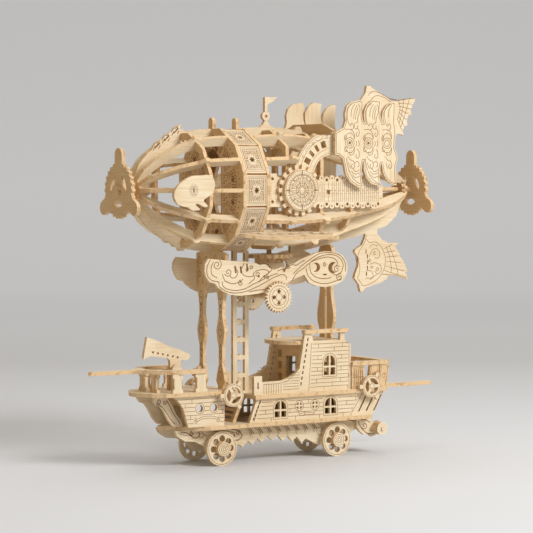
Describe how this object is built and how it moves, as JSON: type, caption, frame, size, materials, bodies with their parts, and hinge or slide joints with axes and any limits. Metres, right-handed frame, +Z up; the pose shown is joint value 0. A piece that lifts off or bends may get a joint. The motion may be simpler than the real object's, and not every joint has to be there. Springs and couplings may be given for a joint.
{
  "type": "model airship",
  "caption": "Mechanical plywood model of a fantasy airship: a ribbed envelope with propellers, sails and turning gears over a wheeled galleon hull",
  "frame": {"origin": "on the floor under the middle of the model's box", "axes": "+X from the bow to the stern, -Y the near side in the picture, +Z up"},
  "size_m": [0.325, 0.1022, 0.2983],
  "materials": {
    "ply": "bare laser-cut plywood",
    "ply_shaft": "bare dowel"
  },
  "bodies": {
    "frame": {"aft_deck": "ply", "arches": "ply", "base_plate": "ply", "bow_braces": "ply", "bow_rail": "ply", "bow_ribs": "ply", "bracket_plates": "ply", "cabin_back": "ply", "cabin_front": "ply", "cabin_roof": "ply", "cabin_walls": "ply", "chassis_skirts": "ply", "deck_helm": "ply", "envelope_panels": "ply", "envelope_rings": "ply", "fish_ornaments": "ply", "flag": "ply", "fore_bulkhead": "ply", "fore_walls": "ply", "foredeck": "ply", "front_columns": "ply", "front_frame": "ply", "gallery_rail": "ply", "gear_deck": "ply", "ladder": "ply", "leaf_wings": "ply", "lower_walls": "ply", "rail_posts": "ply", "rear_columns": "ply", "roof_rails": "ply", "sails": "ply", "scroll_brackets": "ply", "side_boards": "ply", "stairs": "ply", "stern_brackets": "ply", "stern_ribs": "ply", "stern_transom": "ply", "tail_fins": "ply", "telescope_post": "ply", "top_keels": "ply", "wing_beam": "ply"},
    "front_wheel_set": {"front_axle": "ply_shaft", "front_wheels": "ply"},
    "rear_wheel_set": {"rear_axle": "ply_shaft", "rear_wheels": "ply"},
    "roller_set": {"stern_rollers": "ply"},
    "hand_set": {"cross_shaft": "ply_shaft", "hand_gears": "ply"},
    "idler_set": {"idler_gear": "ply"},
    "drive_set": {"drive_shaft": "ply_shaft", "peg_wheel": "ply"},
    "propeller_set": {"main_shaft": "ply_shaft", "propellers": "ply"},
    "compass_near_set": {"compass_near": "ply"},
    "compass_far_set": {"compass_far": "ply"},
    "side_wheel_bow_near_set": {"side_wheel_bow_near": "ply"},
    "side_wheel_bow_far_set": {"side_wheel_bow_far": "ply"},
    "side_wheel_stern_near_set": {"side_wheel_stern_near": "ply"},
    "side_wheel_stern_far_set": {"side_wheel_stern_far": "ply"},
    "telescope_body": {"telescope": "ply"}
  },
  "joints": [
    {"name": "front_wheel_spin", "type": "hinge", "parent": "frame", "child": "front_wheel_set", "pos_m": [-0.0566, 0, 0.0135], "axis": [0, 1, 0], "continuous": true},
    {"name": "rear_wheel_spin", "type": "hinge", "parent": "frame", "child": "rear_wheel_set", "pos_m": [0.0522, 0, 0.0135], "axis": [0, 1, 0], "continuous": true},
    {"name": "roller_spin", "type": "hinge", "parent": "frame", "child": "roller_set", "pos_m": [0.0937, 0, 0.02], "axis": [0, 1, 0], "continuous": true},
    {"name": "hand_spin", "type": "hinge", "parent": "frame", "child": "hand_set", "pos_m": [-0.0089, 0, 0.13], "axis": [0, 1, 0], "continuous": true},
    {"name": "idler_spin", "type": "hinge", "parent": "frame", "child": "idler_set", "pos_m": [0.001, 0, 0.14729], "axis": [0, 1, 0], "continuous": true},
    {"name": "drive_spin", "type": "hinge", "parent": "frame", "child": "drive_set", "pos_m": [0.001, 0, 0.18], "axis": [0, 0, 1], "continuous": true},
    {"name": "propeller_spin", "type": "hinge", "parent": "frame", "child": "propeller_set", "pos_m": [0, 0, 0.2136], "axis": [1, 0, 0], "continuous": true},
    {"name": "compass_near_spin", "type": "hinge", "parent": "frame", "child": "compass_near_set", "pos_m": [0.0029, -0.0365, 0.2136], "axis": [0, 1, 0], "continuous": true},
    {"name": "compass_far_spin", "type": "hinge", "parent": "frame", "child": "compass_far_set", "pos_m": [0.0029, 0.0365, 0.2136], "axis": [0, 1, 0], "continuous": true},
    {"name": "side_wheel_bow_near_spin", "type": "hinge", "parent": "frame", "child": "side_wheel_bow_near_set", "pos_m": [-0.0511, -0.0225, 0.0554], "axis": [0, 1, 0], "continuous": true},
    {"name": "side_wheel_bow_far_spin", "type": "hinge", "parent": "frame", "child": "side_wheel_bow_far_set", "pos_m": [-0.0511, 0.0225, 0.0554], "axis": [0, 1, 0], "continuous": true},
    {"name": "side_wheel_stern_near_spin", "type": "hinge", "parent": "frame", "child": "side_wheel_stern_near_set", "pos_m": [0.0807, -0.024, 0.0555], "axis": [0, 1, 0], "continuous": true},
    {"name": "side_wheel_stern_far_spin", "type": "hinge", "parent": "frame", "child": "side_wheel_stern_far_set", "pos_m": [0.0807, 0.024, 0.0555], "axis": [0, 1, 0], "continuous": true},
    {"name": "telescope_tilt", "type": "hinge", "parent": "frame", "child": "telescope_body", "pos_m": [-0.0865, 0, 0.075], "axis": [0, 1, 0], "range_deg": [-12, 15]}
  ],
  "couplings": [
    {"joint": "hand_spin", "follows": "propeller_spin", "ratio": 0.71429},
    {"joint": "idler_spin", "follows": "propeller_spin", "ratio": -1},
    {"joint": "drive_spin", "follows": "propeller_spin", "ratio": 0.83333}
  ]
}
